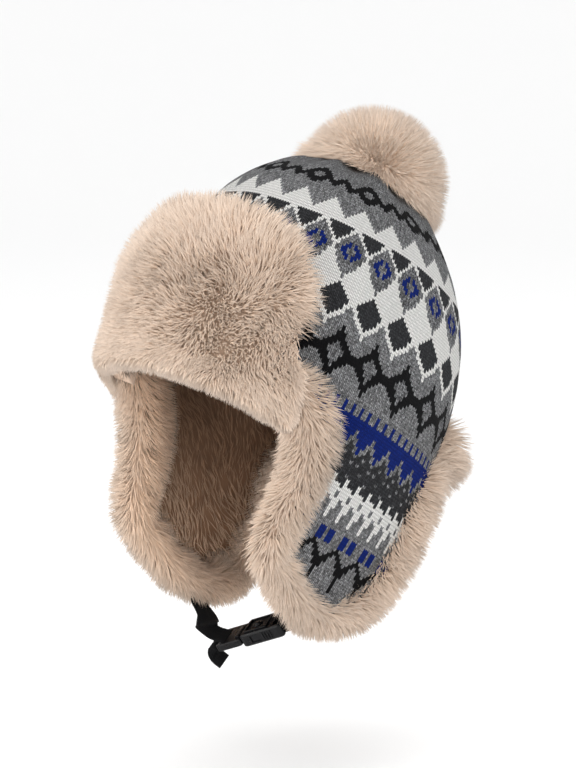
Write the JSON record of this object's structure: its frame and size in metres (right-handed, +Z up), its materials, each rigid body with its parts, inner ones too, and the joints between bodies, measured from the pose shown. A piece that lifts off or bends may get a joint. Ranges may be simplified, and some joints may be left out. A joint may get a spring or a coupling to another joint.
{
  "type": "knitted aviator hat",
  "caption": "Knitted trapper hat with ear flaps, turned-up fur brim, fur trims and lining, fur pompom and a webbing chin strap with a side-release buckle",
  "frame": {"origin": "where the top of the head meets the lining inside the crown, on the hat's middle plane", "axes": "+Z up as the hat is worn, -Y to the face, +X to the wearer's left; the crown is pitched back by 30 degrees, as it is worn in the picture"},
  "size_m": [0.2, 0.2385, 0.3439],
  "materials": {
    "knit": "stranded knit in white, heather grey, charcoal, black and royal blue yarn, matt",
    "lining_fur": "short brown-beige pile, matt with a soft sheen",
    "beige_fur": "long beige pile with darker roots, soft sheen",
    "webbing": "black ribbed webbing, matt",
    "buckle_plastic": "black moulded plastic, satin"
  },
  "bodies": {
    "root": {"knit_shell": "knit", "fur_lining": "lining_fur", "front_brim": "beige_fur", "flap_trim_left": "beige_fur", "flap_trim_right": "beige_fur", "nape_trim": "beige_fur", "pompom": "beige_fur", "strap_right": "webbing", "strap_left": "webbing", "buckle_socket": "buckle_plastic", "buckle_prong": "buckle_plastic"}
  },
  "joints": []
}
